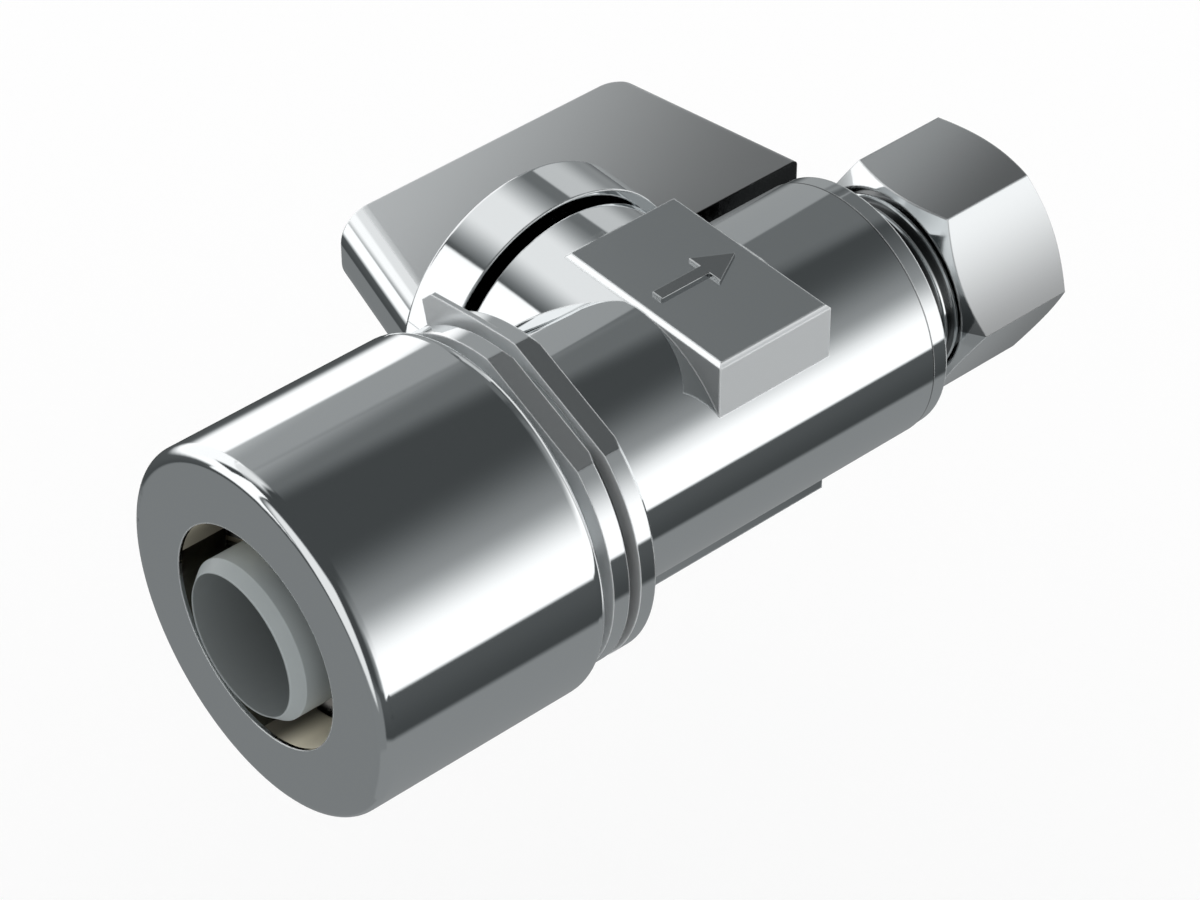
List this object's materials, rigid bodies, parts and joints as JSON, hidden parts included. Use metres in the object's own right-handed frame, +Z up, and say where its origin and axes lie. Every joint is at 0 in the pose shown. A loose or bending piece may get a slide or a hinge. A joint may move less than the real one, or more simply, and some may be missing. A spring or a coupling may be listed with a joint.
{
  "type": "quarter-turn stop valve",
  "caption": "Chrome stop valve: push-fit tube inlet, ball turned a quarter by a blade handle, compression nut at the outlet.",
  "frame": {"origin": "centre of the collar's front face, on the flow line", "axes": "+X with the flow from inlet to outlet, +Y along the stem to the handle, +Z up, square to the flat top pad"},
  "size_m": [0.0687, 0.0421, 0.0274],
  "materials": {
    "chrome_plate": "polished chrome plate on brass",
    "handle_chrome": "polished chrome plate on die-cast zinc",
    "bare_brass": "turned",
    "spring_steel": "stamped stainless sheet",
    "grey_plastic": "moulded",
    "pale_plastic": "moulded",
    "ptfe": "turned",
    "black_rubber": "moulded"
  },
  "bodies": {
    "valve": {"valve_body": "chrome_plate", "inlet_adapter": "chrome_plate", "adapter_o_ring": "black_rubber", "inlet_collar": "chrome_plate", "tube_liner": "grey_plastic", "grab_ring": "spring_steel", "spacer_ring": "pale_plastic", "backup_washer": "bare_brass", "socket_o_ring": "black_rubber", "inlet_seat": "ptfe", "outlet_seat": "ptfe"},
    "turning": {"handle": "handle_chrome", "handle_screw": "spring_steel", "stem": "bare_brass", "thrust_washer": "ptfe", "inner_stem_o_ring": "black_rubber", "outer_stem_o_ring": "black_rubber", "ball": "chrome_plate"},
    "sleeve": {"ferrule": "bare_brass"},
    "nut": {"compression_nut": "chrome_plate"}
  },
  "joints": [
    {"name": "handle_turn", "type": "hinge", "parent": "valve", "child": "turning", "pos_m": [0.03644, 0, 0], "axis": [0, -1, 0], "range_deg": [0, 90]},
    {"name": "nut_travel", "type": "slide", "parent": "valve", "child": "sleeve", "axis": [1, 0, 0], "range_m": [-0.0016, 0.0022]},
    {"name": "nut_turn", "type": "hinge", "parent": "sleeve", "child": "nut", "pos_m": [0.0625, 0, 0], "axis": [1, 0, 0], "range_deg": [-540, 720]}
  ],
  "couplings": [
    {"joint": "nut_travel", "follows": "nut_turn", "m_per_rad": 0.00016843}
  ]
}
